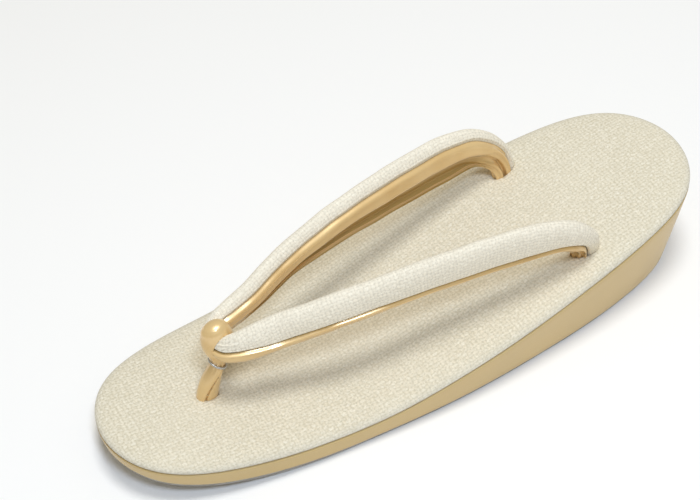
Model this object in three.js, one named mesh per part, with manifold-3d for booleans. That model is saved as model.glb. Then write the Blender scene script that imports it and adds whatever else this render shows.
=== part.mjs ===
// A lady's zori: a wedge sole with a padded footbed and a V-shaped thong strap.
// Millimetres. Toe towards -Y, heel towards +Y, +Z up, the shoe stands on z = 0.
import * as THREE from 'three';
import Module from 'manifold-3d';
import { mergeVertices } from 'three/addons/utils/BufferGeometryUtils.js';

const wasm = await Module();
wasm.setup();

// ---- driving dimensions ------------------------------------------------------------------

const gap = 0.3;                  // clearance between pieces that touch
const outsoleThickness = 1.8;
const outsoleRecess = 0.6;        // the outsole steps in under the covered wedge
const toeSpring = { start: -40, run: 80, rise: 10 };
const stepsPerSpan = 6;           // outline points between two cage points

// Cage of the right half of the sole's outline; the left half mirrors it.
const outlineCage = [
  { x: 0.0, y: -124.1 },
  { x: 26.5, y: -112.2 },
  { x: 35.9, y: -78.1 },
  { x: 40.0, y: -36.2 },
  { x: 42.9, y: 0.6 },
  { x: 40.9, y: 42.8 },
  { x: 36.5, y: 84.2 },
  { x: 27.3, y: 112.3 },
  { x: 0.0, y: 123.9 },
];

// Wedge: height of the seam between wedge and footbed, and how far the wall leans in at the ground.
const wedgeStations = [
  { y: -120, rim: 16.2, lean: 0.7 },
  { y: -90, rim: 11.9, lean: 0.3 },
  { y: -60, rim: 9.1, lean: 0.2 },
  { y: -30, rim: 9.7, lean: 1.0 },
  { y: 0, rim: 15.0, lean: 1.8 },
  { y: 30, rim: 20.8, lean: 2.6 },
  { y: 60, rim: 27.2, lean: 3.3 },
  { y: 90, rim: 33.1, lean: 4.8 },
  { y: 120, rim: 37.8, lean: 6.2 },
];

// Footbed edge, from its underside round to the flat top: offset from the outline and height.
const footbedRoll = [
  { out: -0.5, up: 0.0 },
  { out: 0.1, up: 0.4 },
  { out: 0.0, up: 1.0 },
  { out: -0.5, up: 1.6 },
  { out: -1.5, up: 2.2 },
  { out: -3.2, up: 2.6 },
  { out: -6.0, up: 2.7 },
];

// Right strap from the toe loop back and down into its slot: centre, half width, half thickness,
// and the tilt of the width from level, which passes upright where the strap stands on edge.
const strapStations = [
  { x: -0.6, y: -75.6, z: 37.6, width: 3.8, thickness: 2.6, tilt: 80 },
  { x: 4.4, y: -73.6, z: 37.5, width: 5.2, thickness: 3.0, tilt: 84 },
  { x: 6.5, y: -69.6, z: 37.9, width: 6.4, thickness: 3.5, tilt: 87 },
  { x: 7.6, y: -65.0, z: 38.6, width: 7.1, thickness: 3.9, tilt: 88 },
  { x: 9.7, y: -55.0, z: 40.4, width: 7.8, thickness: 4.0, tilt: 89 },
  { x: 12.9, y: -45.0, z: 42.8, width: 8.1, thickness: 4.0, tilt: 91 },
  { x: 15.6, y: -35.0, z: 44.8, width: 8.3, thickness: 4.0, tilt: 93 },
  { x: 19.4, y: -15.0, z: 47.2, width: 9.1, thickness: 4.0, tilt: 98 },
  { x: 22.3, y: 5.0, z: 48.3, width: 9.7, thickness: 4.0, tilt: 100 },
  { x: 25.2, y: 25.0, z: 48.6, width: 10.0, thickness: 4.0, tilt: 101 },
  { x: 26.6, y: 36.0, z: 48.0, width: 9.6, thickness: 4.0, tilt: 101 },
  { x: 27.5, y: 45.2, z: 46.5, width: 8.3, thickness: 4.0, tilt: 100 },
  { x: 27.9, y: 52.4, z: 43.2, width: 6.9, thickness: 3.8, tilt: 96 },
  { x: 27.4, y: 57.9, z: 38.3, width: 6.0, thickness: 3.3, tilt: 93 },
  { x: 26.2, y: 60.6, z: 33.0, width: 5.5, thickness: 2.8, tilt: 91 },
  { x: 25.4, y: 61.2, z: 27.0, width: 5.2, thickness: 2.7, tilt: 90 },
  { x: 25.2, y: 61.2, z: 22.0, width: 5.0, thickness: 2.6, tilt: 90 },
];

// Toe loop from the foot of its post, through the bound neck, over the strap's apex.
const loopStations = [
  { y: -81.0, z: 7.5, across: 2.9, along: 4.0 },
  { y: -80.9, z: 11.5, across: 3.0, along: 4.1 },
  { y: -80.1, z: 15.5, across: 3.0, along: 4.1 },
  { y: -78.5, z: 20.0, across: 3.0, along: 3.8 },
  { y: -76.6, z: 24.0, across: 2.8, along: 2.8 },
  { y: -75.0, z: 27.2, across: 2.5, along: 2.2 },
  { y: -74.2, z: 30.8, across: 3.5, along: 3.6 },
  { y: -73.9, z: 34.6, across: 4.4, along: 5.3 },
  { y: -73.8, z: 38.2, across: 4.6, along: 5.9 },
  { y: -74.0, z: 41.5, across: 4.4, along: 5.6 },
  { y: -74.3, z: 44.3, across: 3.7, along: 4.7 },
  { y: -74.5, z: 45.8, across: 2.5, along: 3.2 },
];

const bindingRing = { y: -75.0, z: 27.2, across: 3.4, along: 3.3, wire: 0.5, pitch: 32 };

// ---- tables read as smooth curves --------------------------------------------------------

// Value of a column at a place along the rows, by cubic Hermite pieces through every row.
function smooth(rows, key, column, at) {
  const last = rows.length - 1;
  let i = 0;
  while (i < last - 1 && rows[i + 1][key] < at) i += 1;
  const slope = (k) => {
    const before = rows[Math.max(k - 1, 0)];
    const after = rows[Math.min(k + 1, last)];
    return (after[column] - before[column]) / (after[key] - before[key]);
  };
  const a = rows[i];
  const b = rows[i + 1];
  const span = b[key] - a[key];
  const t = THREE.MathUtils.clamp((at - a[key]) / span, 0, 1);
  const t2 = t * t;
  const t3 = t2 * t;
  return (2 * t3 - 3 * t2 + 1) * a[column] + (t3 - 2 * t2 + t) * span * slope(i)
    + (3 * t2 - 2 * t3) * b[column] + (t3 - t2) * span * slope(i + 1);
}

const rimHeight = (y) => smooth(wedgeStations, 'y', 'rim', y);
const wallLean = (y) => smooth(wedgeStations, 'y', 'lean', y);

// Underside of the shoe: flat from the heel to the ball, curving up to the toe.
function groundHeight(y) {
  const past = Math.max(0, toeSpring.start - y) / toeSpring.run;
  return toeSpring.rise * past * past;
}

// ---- sole outline ------------------------------------------------------------------------

// Closed uniform cubic B-spline over the mirrored cage, with outward normals. Point i and point
// count - i mirror each other, so the caps below join straight across the sole.
function soleOutline() {
  const left = outlineCage.slice(1, -1).reverse().map((p) => ({ x: -p.x, y: p.y }));
  const cage = [...outlineCage, ...left];
  const at = (k) => cage[(k + cage.length) % cage.length];
  const mix = (w, k, c) => w[0] * at(k - 1)[c] + w[1] * at(k)[c] + w[2] * at(k + 1)[c] + w[3] * at(k + 2)[c];
  const points = [];
  for (let k = 0; k < cage.length; k += 1) {
    for (let s = 0; s < stepsPerSpan; s += 1) {
      const t = s / stepsPerSpan;
      const u = 1 - t;
      const place = [u ** 3 / 6, (3 * t ** 3 - 6 * t ** 2 + 4) / 6, (3 * u ** 3 - 6 * u ** 2 + 4) / 6, t ** 3 / 6];
      const rate = [-(u ** 2) / 2, (3 * t ** 2 - 4 * t) / 2, (4 * u - 3 * u ** 2) / 2, t ** 2 / 2];
      const tangent = new THREE.Vector2(mix(rate, k, 'x'), mix(rate, k, 'y')).normalize();
      points.push({ x: mix(place, k, 'x'), y: mix(place, k, 'y'), nx: tangent.y, ny: -tangent.x });
    }
  }
  return points;
}

const outline = soleOutline();

// A ring round the sole: each outline point moved out by offset(y) and lifted to height(y).
function soleRing(offset, height) {
  return outline.map((p) => {
    const y = p.y + p.ny * offset(p.y);
    return new THREE.Vector3(p.x + p.nx * offset(p.y), y, height(y));
  });
}

// ---- meshes from rings -------------------------------------------------------------------

function geometryFrom(points, faces) {
  const geometry = new THREE.BufferGeometry();
  geometry.setAttribute('position', new THREE.Float32BufferAttribute(points.flatMap((p) => p.toArray()), 3));
  geometry.setIndex(faces.flat());
  return geometry;
}

// Rings stacked from bottom to top, anticlockwise seen from above.
function stack(rings) {
  const count = rings[0].length;
  const faces = [];
  for (let r = 0; r + 1 < rings.length; r += 1) {
    for (let i = 0; i < count; i += 1) {
      const j = (i + 1) % count;
      const low = r * count;
      const high = low + count;
      faces.push([low + i, low + j, high + j], [low + i, high + j, high + i]);
    }
  }
  return faces;
}

// A layer of the sole: stacked rings, with both ends closed by strips straight across.
function soleLayer(rings) {
  const count = outline.length;
  const faces = stack(rings);
  const top = (rings.length - 1) * count;
  for (let i = 0; i < count / 2; i += 1) {
    const right = [i, i + 1];
    const left = [(count - i) % count, count - i - 1];
    const strip = [[right[0], right[1], left[1]], [right[0], left[1], left[0]]];
    for (const [a, b, c] of strip) {
      if (a === b || b === c || a === c) continue;
      faces.push([c, b, a], [top + a, top + b, top + c]);
    }
  }
  return geometryFrom(rings.flat(), faces);
}

// A closed form through sections along a path, each end closed on its centre.
function loft(sections) {
  const points = sections.flatMap((s) => s.ring);
  const count = sections[0].ring.length;
  const faces = stack(sections.map((s) => s.ring));
  const start = points.length;
  const lastRing = start - count;
  points.push(sections[0].centre, sections[sections.length - 1].centre);
  for (let i = 0; i < count; i += 1) {
    const j = (i + 1) % count;
    faces.push([start, j, i], [start + 1, lastRing + i, lastRing + j]);
  }
  return geometryFrom(points, faces);
}

// ---- solids and booleans -----------------------------------------------------------------

function toSolid(geometry) {
  const bare = geometry.clone();
  bare.deleteAttribute('normal');
  bare.deleteAttribute('uv');
  const merged = mergeVertices(bare, 1e-5);
  return new wasm.Manifold(new wasm.Mesh({
    numProp: 3,
    vertProperties: new Float32Array(merged.attributes.position.array),
    triVerts: new Uint32Array(merged.index.array),
  }));
}

function toGeometry(solid) {
  const mesh = solid.getMesh();
  const geometry = new THREE.BufferGeometry();
  geometry.setAttribute('position', new THREE.Float32BufferAttribute(mesh.vertProperties, 3));
  geometry.setIndex(Array.from(mesh.triVerts));
  return geometry;
}

// ---- strap -------------------------------------------------------------------------------

const strapSides = 20;
const strapStepsPerRow = 3;
const inboardSlant = 0.25;        // inboard and a little to the rear, square to the branch

// One branch of the strap; side is 1 for the right and -1 for the left, and swell grows it
// all round to cut a clearance. The width lies level, square to the path and facing inboard,
// and is then turned by the tilt.
function strapBranch(side, swell) {
  const rows = strapStations.map((row, index) => ({ ...row, index }));
  const steps = (rows.length - 1) * strapStepsPerRow;
  const at = (k, column) => smooth(rows, 'index', column, k / strapStepsPerRow);
  const centres = [];
  for (let k = 0; k <= steps; k += 1) {
    centres.push(new THREE.Vector3(side * at(k, 'x'), at(k, 'y'), at(k, 'z')));
  }
  const direction = (k) => centres[Math.min(k + 1, steps)].clone().sub(centres[Math.max(k - 1, 0)]).normalize();
  centres[0].addScaledVector(direction(0), -swell);
  centres[steps].addScaledVector(direction(steps), swell);
  const inboard = new THREE.Vector3(-side, inboardSlant, 0);
  const sections = centres.map((centre, k) => {
    const ahead = direction(k);
    const level = inboard.clone().addScaledVector(ahead, -inboard.dot(ahead)).normalize();
    const above = ahead.clone().cross(level).multiplyScalar(side);
    const tilt = THREE.MathUtils.degToRad(at(k, 'tilt'));
    const across = level.clone().multiplyScalar(Math.cos(tilt)).addScaledVector(above, Math.sin(tilt));
    const proud = above.clone().multiplyScalar(Math.cos(tilt)).addScaledVector(level, -Math.sin(tilt));
    const ring = [];
    for (let i = 0; i < strapSides; i += 1) {
      const turn = side * 2 * Math.PI * i / strapSides;
      ring.push(centre.clone()
        .addScaledVector(across, (at(k, 'width') + swell) * Math.cos(turn))
        .addScaledVector(proud, (at(k, 'thickness') + swell) * Math.sin(turn)));
    }
    return { centre, ring };
  });
  return toSolid(loft(sections));
}

function strapSolid(swell) {
  return strapBranch(1, swell).add(strapBranch(-1, swell));
}

// ---- toe loop and its binding ------------------------------------------------------------

const loopSides = 24;
const loopStepsPerRow = 2;

function loopSolid(swell) {
  const rows = loopStations.map((row, index) => ({ ...row, index }));
  const steps = (rows.length - 1) * loopStepsPerRow;
  const at = (k, column) => smooth(rows, 'index', column, k / loopStepsPerRow);
  const centres = [];
  for (let k = 0; k <= steps; k += 1) centres.push(new THREE.Vector3(0, at(k, 'y'), at(k, 'z')));
  const direction = (k) => centres[Math.min(k + 1, steps)].clone().sub(centres[Math.max(k - 1, 0)]).normalize();
  centres[0].addScaledVector(direction(0), -swell);
  const across = new THREE.Vector3(1, 0, 0);
  const sections = centres.map((centre, k) => {
    const along = direction(k).cross(across);
    const ring = [];
    for (let i = 0; i < loopSides; i += 1) {
      const turn = 2 * Math.PI * i / loopSides;
      ring.push(centre.clone()
        .addScaledVector(across, (at(k, 'across') + swell) * Math.cos(turn))
        .addScaledVector(along, (at(k, 'along') + swell) * Math.sin(turn)));
    }
    return { centre, ring };
  });
  const crown = 0.6;
  sections[steps].centre = centres[steps].clone().addScaledVector(direction(steps), crown);
  return toSolid(loft(sections));
}

function ringGeometry() {
  const { y, z, across, along, wire, pitch } = bindingRing;
  const geometry = new THREE.TorusGeometry(1, wire, 8, 32);
  const place = geometry.attributes.position;
  for (let i = 0; i < place.count; i += 1) {
    const around = Math.hypot(place.getX(i), place.getY(i));
    const spread = around - 1;
    const ux = place.getX(i) / around;
    const uy = place.getY(i) / around;
    place.setXYZ(i, ux * (across + spread), uy * (along + spread), place.getZ(i));
  }
  geometry.rotateX(-THREE.MathUtils.degToRad(pitch));
  geometry.translate(0, y, z);
  return toGeometry(toSolid(geometry));
}

// ---- the pieces --------------------------------------------------------------------------

// Wall line of the wedge: in by its full lean at the ground, out to the outline at the rim.
function wallOffset(height) {
  return (y) => {
    const foot = groundHeight(y);
    const share = (rimHeight(y) - height(y)) / (rimHeight(y) - foot);
    return -wallLean(y) * THREE.MathUtils.clamp(share, 0, 1);
  };
}

function outsoleGeometry() {
  const upper = (y) => groundHeight(y) + outsoleThickness;
  const inset = (y) => wallOffset(groundHeight)(y) - outsoleRecess;
  return soleLayer([soleRing(inset, groundHeight), soleRing(inset, upper)]);
}

function wedgeSolid() {
  const bottom = (y) => groundHeight(y) + outsoleThickness + gap;
  const middle = (y) => (bottom(y) + rimHeight(y)) / 2;
  const seamTuck = 0.5;
  const levels = [
    soleRing((y) => wallOffset(bottom)(y) - seamTuck, bottom),
    soleRing(wallOffset((y) => bottom(y) + seamTuck), (y) => bottom(y) + seamTuck),
    soleRing(wallOffset(middle), middle),
    soleRing(() => 0, (y) => rimHeight(y) - seamTuck),
    soleRing(() => -seamTuck, rimHeight),
  ];
  return toSolid(soleLayer(levels));
}

function footbedSolid() {
  const rings = footbedRoll.map((row) => soleRing(() => row.out, (y) => rimHeight(y) + gap + row.up));
  return toSolid(soleLayer(rings));
}

function piece(name, geometry, colour, roughness, metalness) {
  const material = new THREE.MeshStandardMaterial({ color: colour, roughness, metalness });
  const mesh = new THREE.Mesh(geometry, material);
  mesh.name = name;
  return mesh;
}

const strapRoom = strapSolid(gap);
const postRoom = loopSolid(gap);

const zori = new THREE.Group();
zori.add(piece('outsole', outsoleGeometry(), '#8d8a84', 0.8, 0));
zori.add(piece('midsole', toGeometry(wedgeSolid().subtract(strapRoom).subtract(postRoom)), '#dcb985', 0.4, 0));
zori.add(piece('insole', toGeometry(footbedSolid().subtract(strapRoom).subtract(postRoom)), '#e9e1c9', 0.9, 0));
zori.add(piece('strap', toGeometry(strapSolid(0)), '#e4e1d6', 0.9, 0));
zori.add(piece('toe_loop', toGeometry(loopSolid(0).subtract(strapRoom)), '#dfb476', 0.4, 0));
zori.add(piece('binding_ring', ringGeometry(), '#b9b9bc', 0.35, 0.8));

export default zori;
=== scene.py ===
import math

import bpy
import numpy as np
from mathutils import Matrix, Vector, noise
from mathutils.geometry import delaunay_2d_cdt
from mathutils.kdtree import KDTree


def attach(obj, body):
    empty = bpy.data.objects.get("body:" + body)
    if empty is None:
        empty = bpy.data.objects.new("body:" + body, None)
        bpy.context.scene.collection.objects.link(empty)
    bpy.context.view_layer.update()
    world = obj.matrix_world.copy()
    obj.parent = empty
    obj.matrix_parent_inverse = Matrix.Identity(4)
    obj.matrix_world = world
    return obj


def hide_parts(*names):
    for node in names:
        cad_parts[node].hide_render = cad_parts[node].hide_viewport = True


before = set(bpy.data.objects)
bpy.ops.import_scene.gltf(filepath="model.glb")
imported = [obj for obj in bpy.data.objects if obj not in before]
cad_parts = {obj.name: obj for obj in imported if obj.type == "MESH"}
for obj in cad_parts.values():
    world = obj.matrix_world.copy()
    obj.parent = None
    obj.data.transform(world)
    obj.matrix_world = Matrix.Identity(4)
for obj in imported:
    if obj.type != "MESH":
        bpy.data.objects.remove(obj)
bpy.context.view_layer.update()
mm = 0.001

# ---- camera, lights and floor

view = {
    "azimuth": 62.28,
    "elevation": 45.11,
    "roll": -3.35,
    "distance": 507.2,
    "target": (-20.9, -10.2, 30.0),
    "lens": 71.18,
    "shift": -0.0027,
    "nearest": 10.0,
}


def addObject(name, data):
    thing = bpy.data.objects.new(name, data)
    bpy.context.scene.collection.objects.link(thing)
    return thing


def makeCamera(v):
    around, above, roll = (math.radians(v[k]) for k in ("azimuth", "elevation", "roll"))
    back = Vector((math.sin(around) * math.cos(above), -math.cos(around) * math.cos(above), math.sin(above)))
    level = (-back).cross(Vector((0, 0, 1))).normalized()
    upright = level.cross(-back)
    right = level * math.cos(roll) + upright * math.sin(roll)
    top = upright * math.cos(roll) - level * math.sin(roll)
    data = bpy.data.cameras.new("camera")
    data.lens = v["lens"]
    data.shift_y = v["shift"]
    data.clip_start = v["nearest"] * mm
    camera = addObject("camera", data)
    place = (Vector(v["target"]) + back * v["distance"]) * mm
    camera.matrix_world = Matrix.Translation(place) @ Matrix((right, top, back)).transposed().to_4x4()
    bpy.context.scene.camera = camera


studio = {
    "overhead": {"towards": (0.05, 0.02, 1.0), "away": 1.3, "across": 0.38, "power": 7.6,
                 "colour": (0.94, 0.97, 1.0)},
    "side": {"towards": (0.54, -0.10, 1.0), "away": 1.4, "across": 0.30, "power": 8.2,
             "colour": (0.66, 0.79, 1.0)},
    "fill": 0.36,
    "fillColour": (1.0, 0.93, 0.77),
    "floor": (0.97, 0.95, 0.92),
    "floorRough": 0.9,
    "floorSize": 6.0,
}


def makeStudio(s):
    for name in ("overhead", "side"):
        lamp = s[name]
        data = bpy.data.lights.new(name, "AREA")
        data.shape = "DISK"
        data.size = lamp["across"]
        data.energy = lamp["power"]
        data.color = lamp["colour"]
        towards = Vector(lamp["towards"]).normalized()
        light = addObject(name, data)
        light.location = towards * lamp["away"]
        light.rotation_mode = "QUATERNION"
        light.rotation_quaternion = towards.to_track_quat("Z", "Y")
    world = bpy.data.worlds.new("studio")
    world.use_nodes = True
    background = world.node_tree.nodes["Background"]
    background.inputs["Color"].default_value = (*s["fillColour"], 1)
    background.inputs["Strength"].default_value = s["fill"]
    bpy.context.scene.world = world
    bpy.context.scene.view_settings.view_transform = "Standard"

    half = s["floorSize"] / 2
    mesh = bpy.data.meshes.new("floor")
    corners = [(-half, -half, 0), (half, -half, 0), (half, half, 0), (-half, half, 0)]
    mesh.from_pydata(corners, [], [(0, 1, 2, 3)])
    paper, tree, shader = newMaterial("paper_floor")
    shader.inputs["Base Color"].default_value = (*s["floor"], 1)
    shader.inputs["Roughness"].default_value = s["floorRough"]
    mesh.materials.append(paper)
    addObject("floor", mesh)


# ---- small helpers for shader trees

def addNode(tree, kind, inputs=None, **settings):
    node = tree.nodes.new(kind)
    for key, value in settings.items():
        setattr(node, key, value)
    for key, value in (inputs or {}).items():
        if isinstance(value, bpy.types.NodeSocket):
            tree.links.new(value, node.inputs[key])
        else:
            node.inputs[key].default_value = value
    return node


def maths(tree, operation, *values):
    node = addNode(tree, "ShaderNodeMath", dict(enumerate(values)), operation=operation)
    return node.outputs[0]


def mixColours(tree, share, first, second):
    node = addNode(tree, "ShaderNodeMix", {0: share}, data_type="RGBA")
    for index, value in ((6, first), (7, second)):
        if isinstance(value, bpy.types.NodeSocket):
            tree.links.new(value, node.inputs[index])
        else:
            node.inputs[index].default_value = (*value, 1)
    return node.outputs[2]


def newMaterial(name):
    material = bpy.data.materials.new(name)
    material.use_nodes = True
    return material, material.node_tree, material.node_tree.nodes["Principled BSDF"]


def noiseOn(tree, spot, scale, detail=2.0, output="Fac"):
    node = addNode(tree, "ShaderNodeTexNoise", {"Vector": spot, "Scale": scale, "Detail": detail})
    return node.outputs[output]


# Stretches a range of values to go from least to most.
def remap(tree, value, span, most=1.0, least=0.0):
    node = addNode(tree, "ShaderNodeMapRange", {0: value, 1: span[0], 2: span[1], 3: least, 4: most})
    return node.outputs[0]


def addBump(tree, shader, height, depth, strength):
    bump = addNode(tree, "ShaderNodeBump", {"Height": height, "Distance": depth * mm, "Strength": strength})
    tree.links.new(bump.outputs[0], shader.inputs["Normal"])


# What both cloths share: threads that drift, swell and dip, fibres standing off them, and soft clouds.
plainWeave = {
    "drift": 1.5,
    "roundness": 0.7,
    "weaveDip": 0.42,
    "slub": 0.9,
    "slubLength": 0.4,
    "slubApart": 5.3,
    "weftSlubs": 7.0,
    "fibreScale": 1200.0,
    "fibre": 0.7,
    "fibreRange": (0.4, 0.7),
    # how far up each thread the painted shade of the gaps reaches
    "pitShadeDepth": 0.68,
    "cloudRange": (0.35, 0.75),
    "rough": 0.85,
    "specular": 0.25,
    "sheen": 0.12,
}


# Plain weave on the piece's own map, in metres: each thread rises over one crossing thread
# and dips under the next, a little uneven in place, thickness and shade.
def wovenCloth(name, s):
    material, tree, shader = newMaterial(name)
    calc = lambda *step: maths(tree, *step)
    spot = addNode(tree, "ShaderNodeUVMap", uv_map="weave").outputs[0]
    part = addNode(tree, "ShaderNodeSeparateXYZ", {0: spot}).outputs
    wander = noiseOn(tree, spot, s["driftScale"], output="Color")
    drift = addNode(tree, "ShaderNodeSeparateColor", {0: wander}).outputs
    across = calc("MULTIPLY_ADD", part[0], 1 / (s["warpPitch"] * mm), calc("MULTIPLY", drift[0], s["drift"]))
    along = calc("MULTIPLY_ADD", part[1], 1 / (s["weftPitch"] * mm), calc("MULTIPLY", drift[1], s["drift"]))
    waveAcross = calc("SINE", calc("MULTIPLY", across, math.pi))
    waveAlong = calc("SINE", calc("MULTIPLY", along, math.pi))
    warpNumber = calc("FLOOR", across)
    weftNumber = calc("FLOOR", along)

    # slubs: every thread has its own slow swelling along its length
    warpPlace = {0: calc("MULTIPLY", warpNumber, s["slubApart"]), 1: calc("MULTIPLY", along, s["slubLength"])}
    weftPlace = {0: calc("MULTIPLY", across, s["slubLength"]),
                 1: calc("MULTIPLY", weftNumber, s["slubApart"]), 2: s["weftSlubs"]}

    def thread(wave, otherWave, dip, place):
        slub = noiseOn(tree, addNode(tree, "ShaderNodeCombineXYZ", place).outputs[0], 1.0, 1.0)
        rounded = calc("POWER", calc("ABSOLUTE", wave), s["roundness"])
        lift = calc("MULTIPLY_ADD", calc("MULTIPLY", calc("SIGN", wave), otherWave), dip, 1 - s["weaveDip"])
        swelling = calc("MULTIPLY_ADD", slub, s["slub"], 1 - s["slub"] / 2)
        return slub, calc("MULTIPLY", calc("MULTIPLY", rounded, lift), swelling)

    warpSlub, warpTop = thread(waveAcross, waveAlong, s["weaveDip"], warpPlace)
    weftSlub, weftTop = thread(waveAlong, waveAcross, -s["weaveDip"], weftPlace)
    height = calc("MAXIMUM", warpTop, weftTop)
    warpColour = mixColours(tree, warpSlub, s["warpDull"], s["warpBright"])
    weftColour = mixColours(tree, weftSlub, s["weftDull"], s["weftBright"])
    colour = mixColours(tree, calc("GREATER_THAN", warpTop, weftTop), weftColour, warpColour)

    # every crossing is a little lighter or darker than the next
    crossing = addNode(tree, "ShaderNodeCombineXYZ", {0: warpNumber, 1: weftNumber})
    chance = addNode(tree, "ShaderNodeTexWhiteNoise", {"Vector": crossing.outputs[0]}).outputs["Value"]
    colour = mixColours(tree, calc("MULTIPLY", chance, s["uneven"]), colour, s["pitShadeAndFleck"])
    fibre = noiseOn(tree, spot, s["fibreScale"], 3.0)
    colour = mixColours(tree, remap(tree, fibre, s["fibreRange"], s["fuzz"]), colour, s["pitShadeAndFleck"])
    # painted shade: each thread darkens towards the pit colour down its sides into the gaps between threads
    colour = mixColours(tree, remap(tree, height, (0.0, s["pitShadeDepth"])), s["pitShadeAndFleck"], colour)
    cloudy = noiseOn(tree, spot, s["cloudScale"], 3.0)
    colour = mixColours(tree, remap(tree, cloudy, s["cloudRange"], s["cloud"]), colour, s["warpDull"])
    # painted shade: mixed towards the rim colour by the rim attribute
    if "rim" in s:
        edge = addNode(tree, "ShaderNodeAttribute", attribute_name="rim")
        colour = mixColours(tree, edge.outputs["Fac"], colour, s["rim"])
    tree.links.new(colour, shader.inputs["Base Color"])

    addBump(tree, shader, calc("MULTIPLY_ADD", fibre, s["fibre"], height), s["relief"], s["bump"])
    shader.inputs["Roughness"].default_value = s["rough"]
    shader.inputs["Sheen Weight"].default_value = s["sheen"]
    shader.inputs["Specular IOR Level"].default_value = s["specular"]
    return material


# What both leathers share: how far slow changes and specks reach, and how the grain stands.
plainLeather = {
    "slowRange": (0.3, 0.7),
    "speckRange": (0.55, 0.8),
    "fine": 0.5,
    "bump": 0.6,
}


# Smooth coated leather: a fine pebble in the coating, slow changes of shade and gloss.
def coatedLeather(name, s):
    material, tree, shader = newMaterial(name)
    spot = addNode(tree, "ShaderNodeTexCoord").outputs["Object"]
    slow = noiseOn(tree, spot, s["slowScale"])
    fine = noiseOn(tree, spot, s["fineScale"], 4.0)
    pebble = addNode(tree, "ShaderNodeTexVoronoi", {"Vector": spot, "Scale": s["pebbleScale"]},
                     feature="SMOOTH_F1").outputs["Distance"]
    colour = mixColours(tree, remap(tree, slow, s["slowRange"]), s["deep"], s["light"])
    colour = mixColours(tree, remap(tree, fine, s["speckRange"], s["speck"]), colour, s["worn"])
    # painted shade: a piece carrying the painted shade attribute is darkened towards this colour by it
    if "paintedShade" in s:
        shaded = addNode(tree, "ShaderNodeAttribute", attribute_name="paintedShade")
        colour = mixColours(tree, shaded.outputs["Fac"], colour, s["paintedShade"])
    tree.links.new(colour, shader.inputs["Base Color"])
    smoothest, roughest = s["rough"]
    tree.links.new(remap(tree, slow, s["slowRange"], roughest, smoothest), shader.inputs["Roughness"])
    addBump(tree, shader, maths(tree, "MULTIPLY_ADD", fine, s["fine"], pebble), s["relief"], s["bump"])
    shader.inputs["Metallic"].default_value = s["metal"]
    shader.inputs["Coat Weight"].default_value = s["coat"]
    shader.inputs["Coat Roughness"].default_value = s["coatRough"]
    return material


makeCamera(view)
makeStudio(studio)
print("camera and studio ready")


# ---- small helpers for meshes

def makePiece(name, points, faces, material):
    mesh = bpy.data.meshes.new(name)
    corners = (np.asarray(points, float) * mm).tolist()
    mesh.from_pydata(corners, [], [tuple(int(i) for i in f) for f in faces])
    mesh.materials.append(material)
    mesh.shade_smooth()
    mesh.update()
    return addObject(name, mesh)


# Lines for a node tree to grow things along.
def makeGuide(name, points, lines):
    mesh = bpy.data.meshes.new(name)
    mesh.from_pydata((np.array(points) * mm).tolist(), lines, [])
    return addObject(name, mesh)


# What every finished piece says: it rides on the one body and may stand for a node.
def finishPiece(piece, node=None):
    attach(piece, "root")
    if node:
        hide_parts(node)


def facesOutward(piece):
    bpy.ops.object.select_all(action="DESELECT")
    bpy.context.view_layer.objects.active = piece
    piece.select_set(True)
    bpy.ops.object.mode_set(mode="EDIT")
    bpy.ops.mesh.select_all(action="SELECT")
    bpy.ops.mesh.normals_make_consistent(inside=False)
    bpy.ops.object.mode_set(mode="OBJECT")


# Replaces a piece's mesh by what its modifiers make of it.
def settle(piece):
    evaluated = piece.evaluated_get(bpy.context.evaluated_depsgraph_get())
    made = bpy.data.meshes.new_from_object(evaluated)
    piece.modifiers.clear()
    piece.data = made
    made.name = piece.name


def layWeave(piece, places):
    mesh = piece.data
    layer = mesh.uv_layers.new(name="weave")
    corners = np.zeros(len(mesh.loops), np.int32)
    mesh.loops.foreach_get("vertex_index", corners)
    layer.uv.foreach_set("vector", (np.asarray(places)[corners] * mm).astype(np.float32).ravel())


# Value along a table's rows: cubic pieces through every row.
def smooth(keys, values, at):
    keys, values, at = (np.asarray(a, float) for a in (keys, values, at))
    last = len(keys) - 1
    before = np.maximum(np.arange(last + 1) - 1, 0)
    after = np.minimum(np.arange(last + 1) + 1, last)
    slope = (values[after] - values[before]) / (keys[after] - keys[before])
    i = np.clip(np.searchsorted(keys, at, side="left") - 1, 0, last - 1)
    span = keys[i + 1] - keys[i]
    t = np.clip((at - keys[i]) / span, 0, 1)
    t2, t3 = t * t, t ** 3
    return ((2 * t3 - 3 * t2 + 1) * values[i] + (t3 - 2 * t2 + t) * span * slope[i]
            + (3 * t2 - 2 * t3) * values[i + 1] + (t3 - t2) * span * slope[i + 1])


def bell(x, middle, width):
    return np.exp(-((np.asarray(x, float) - middle) / width) ** 2)


def ringFaces(rings, count, start=0):
    faces = []
    for r in range(rings - 1):
        for i in range(count):
            j = (i + 1) % count
            low = start + r * count
            faces.append((low + i, low + j, low + count + j, low + count + i))
    return faces


# ---- the sole's outline and heights, in millimetres

sole = {
    "cage": [(0.0, -124.1), (26.5, -112.2), (35.9, -78.1), (40.0, -36.2), (42.9, 0.6),
             (40.9, 42.8), (36.5, 84.2), (27.3, 112.3), (0.0, 123.9)],
    "stations": [-120, -90, -60, -30, 0, 30, 60, 90, 120],
    "rim": [16.2, 11.9, 9.1, 9.7, 15.0, 20.8, 27.2, 33.1, 37.8],
    "lean": [0.7, 0.3, 0.2, 1.0, 1.8, 2.6, 3.3, 4.8, 6.2],
    "springStart": -40.0,
    "springRun": 80.0,
    "springRise": 10.0,
    "outsole": 1.8,
    "gap": 0.3,
}


def rimHeight(y):
    return smooth(sole["stations"], sole["rim"], y)


def groundHeight(y):
    past = np.maximum(0, sole["springStart"] - np.asarray(y, float)) / sole["springRun"]
    return sole["springRise"] * past * past


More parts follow.
